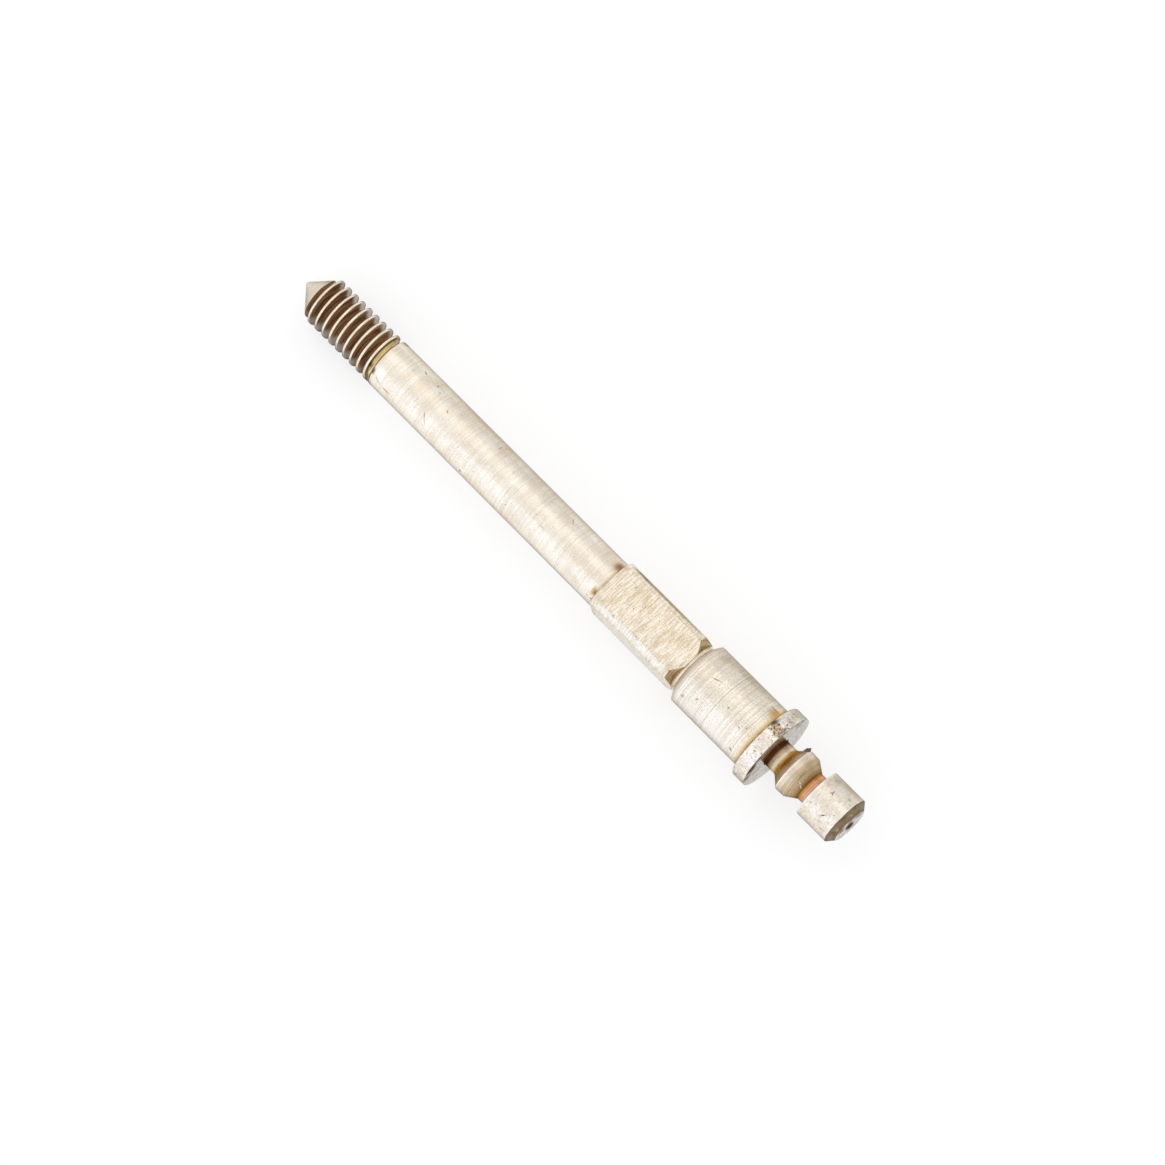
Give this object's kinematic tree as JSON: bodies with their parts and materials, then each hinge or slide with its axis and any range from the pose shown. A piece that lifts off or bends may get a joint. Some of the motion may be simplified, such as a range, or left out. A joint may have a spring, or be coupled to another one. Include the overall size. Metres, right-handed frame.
{
  "type": "watch winding stem",
  "caption": "Turned steel winding stem for a wristwatch: crown thread, plain shank, square drive, pinion seat, thrust collar, detent grooves and pilot.",
  "frame": {"origin": "on the stem's axis, at the collar face that the winding pinion rests on", "axes": "+X along the stem from the crown thread to the pilot; +Z and -Z are square to two of the square's flats, +Y and -Y to the other two"},
  "size_m": [0.0172, 0.002, 0.002],
  "materials": {
    "turned_steel": "fine turned and ground steel with a warm straw tint, and brown polishing residue in the thread and the corners"
  },
  "bodies": {
    "root": {"winding_stem": "turned_steel"}
  },
  "joints": []
}
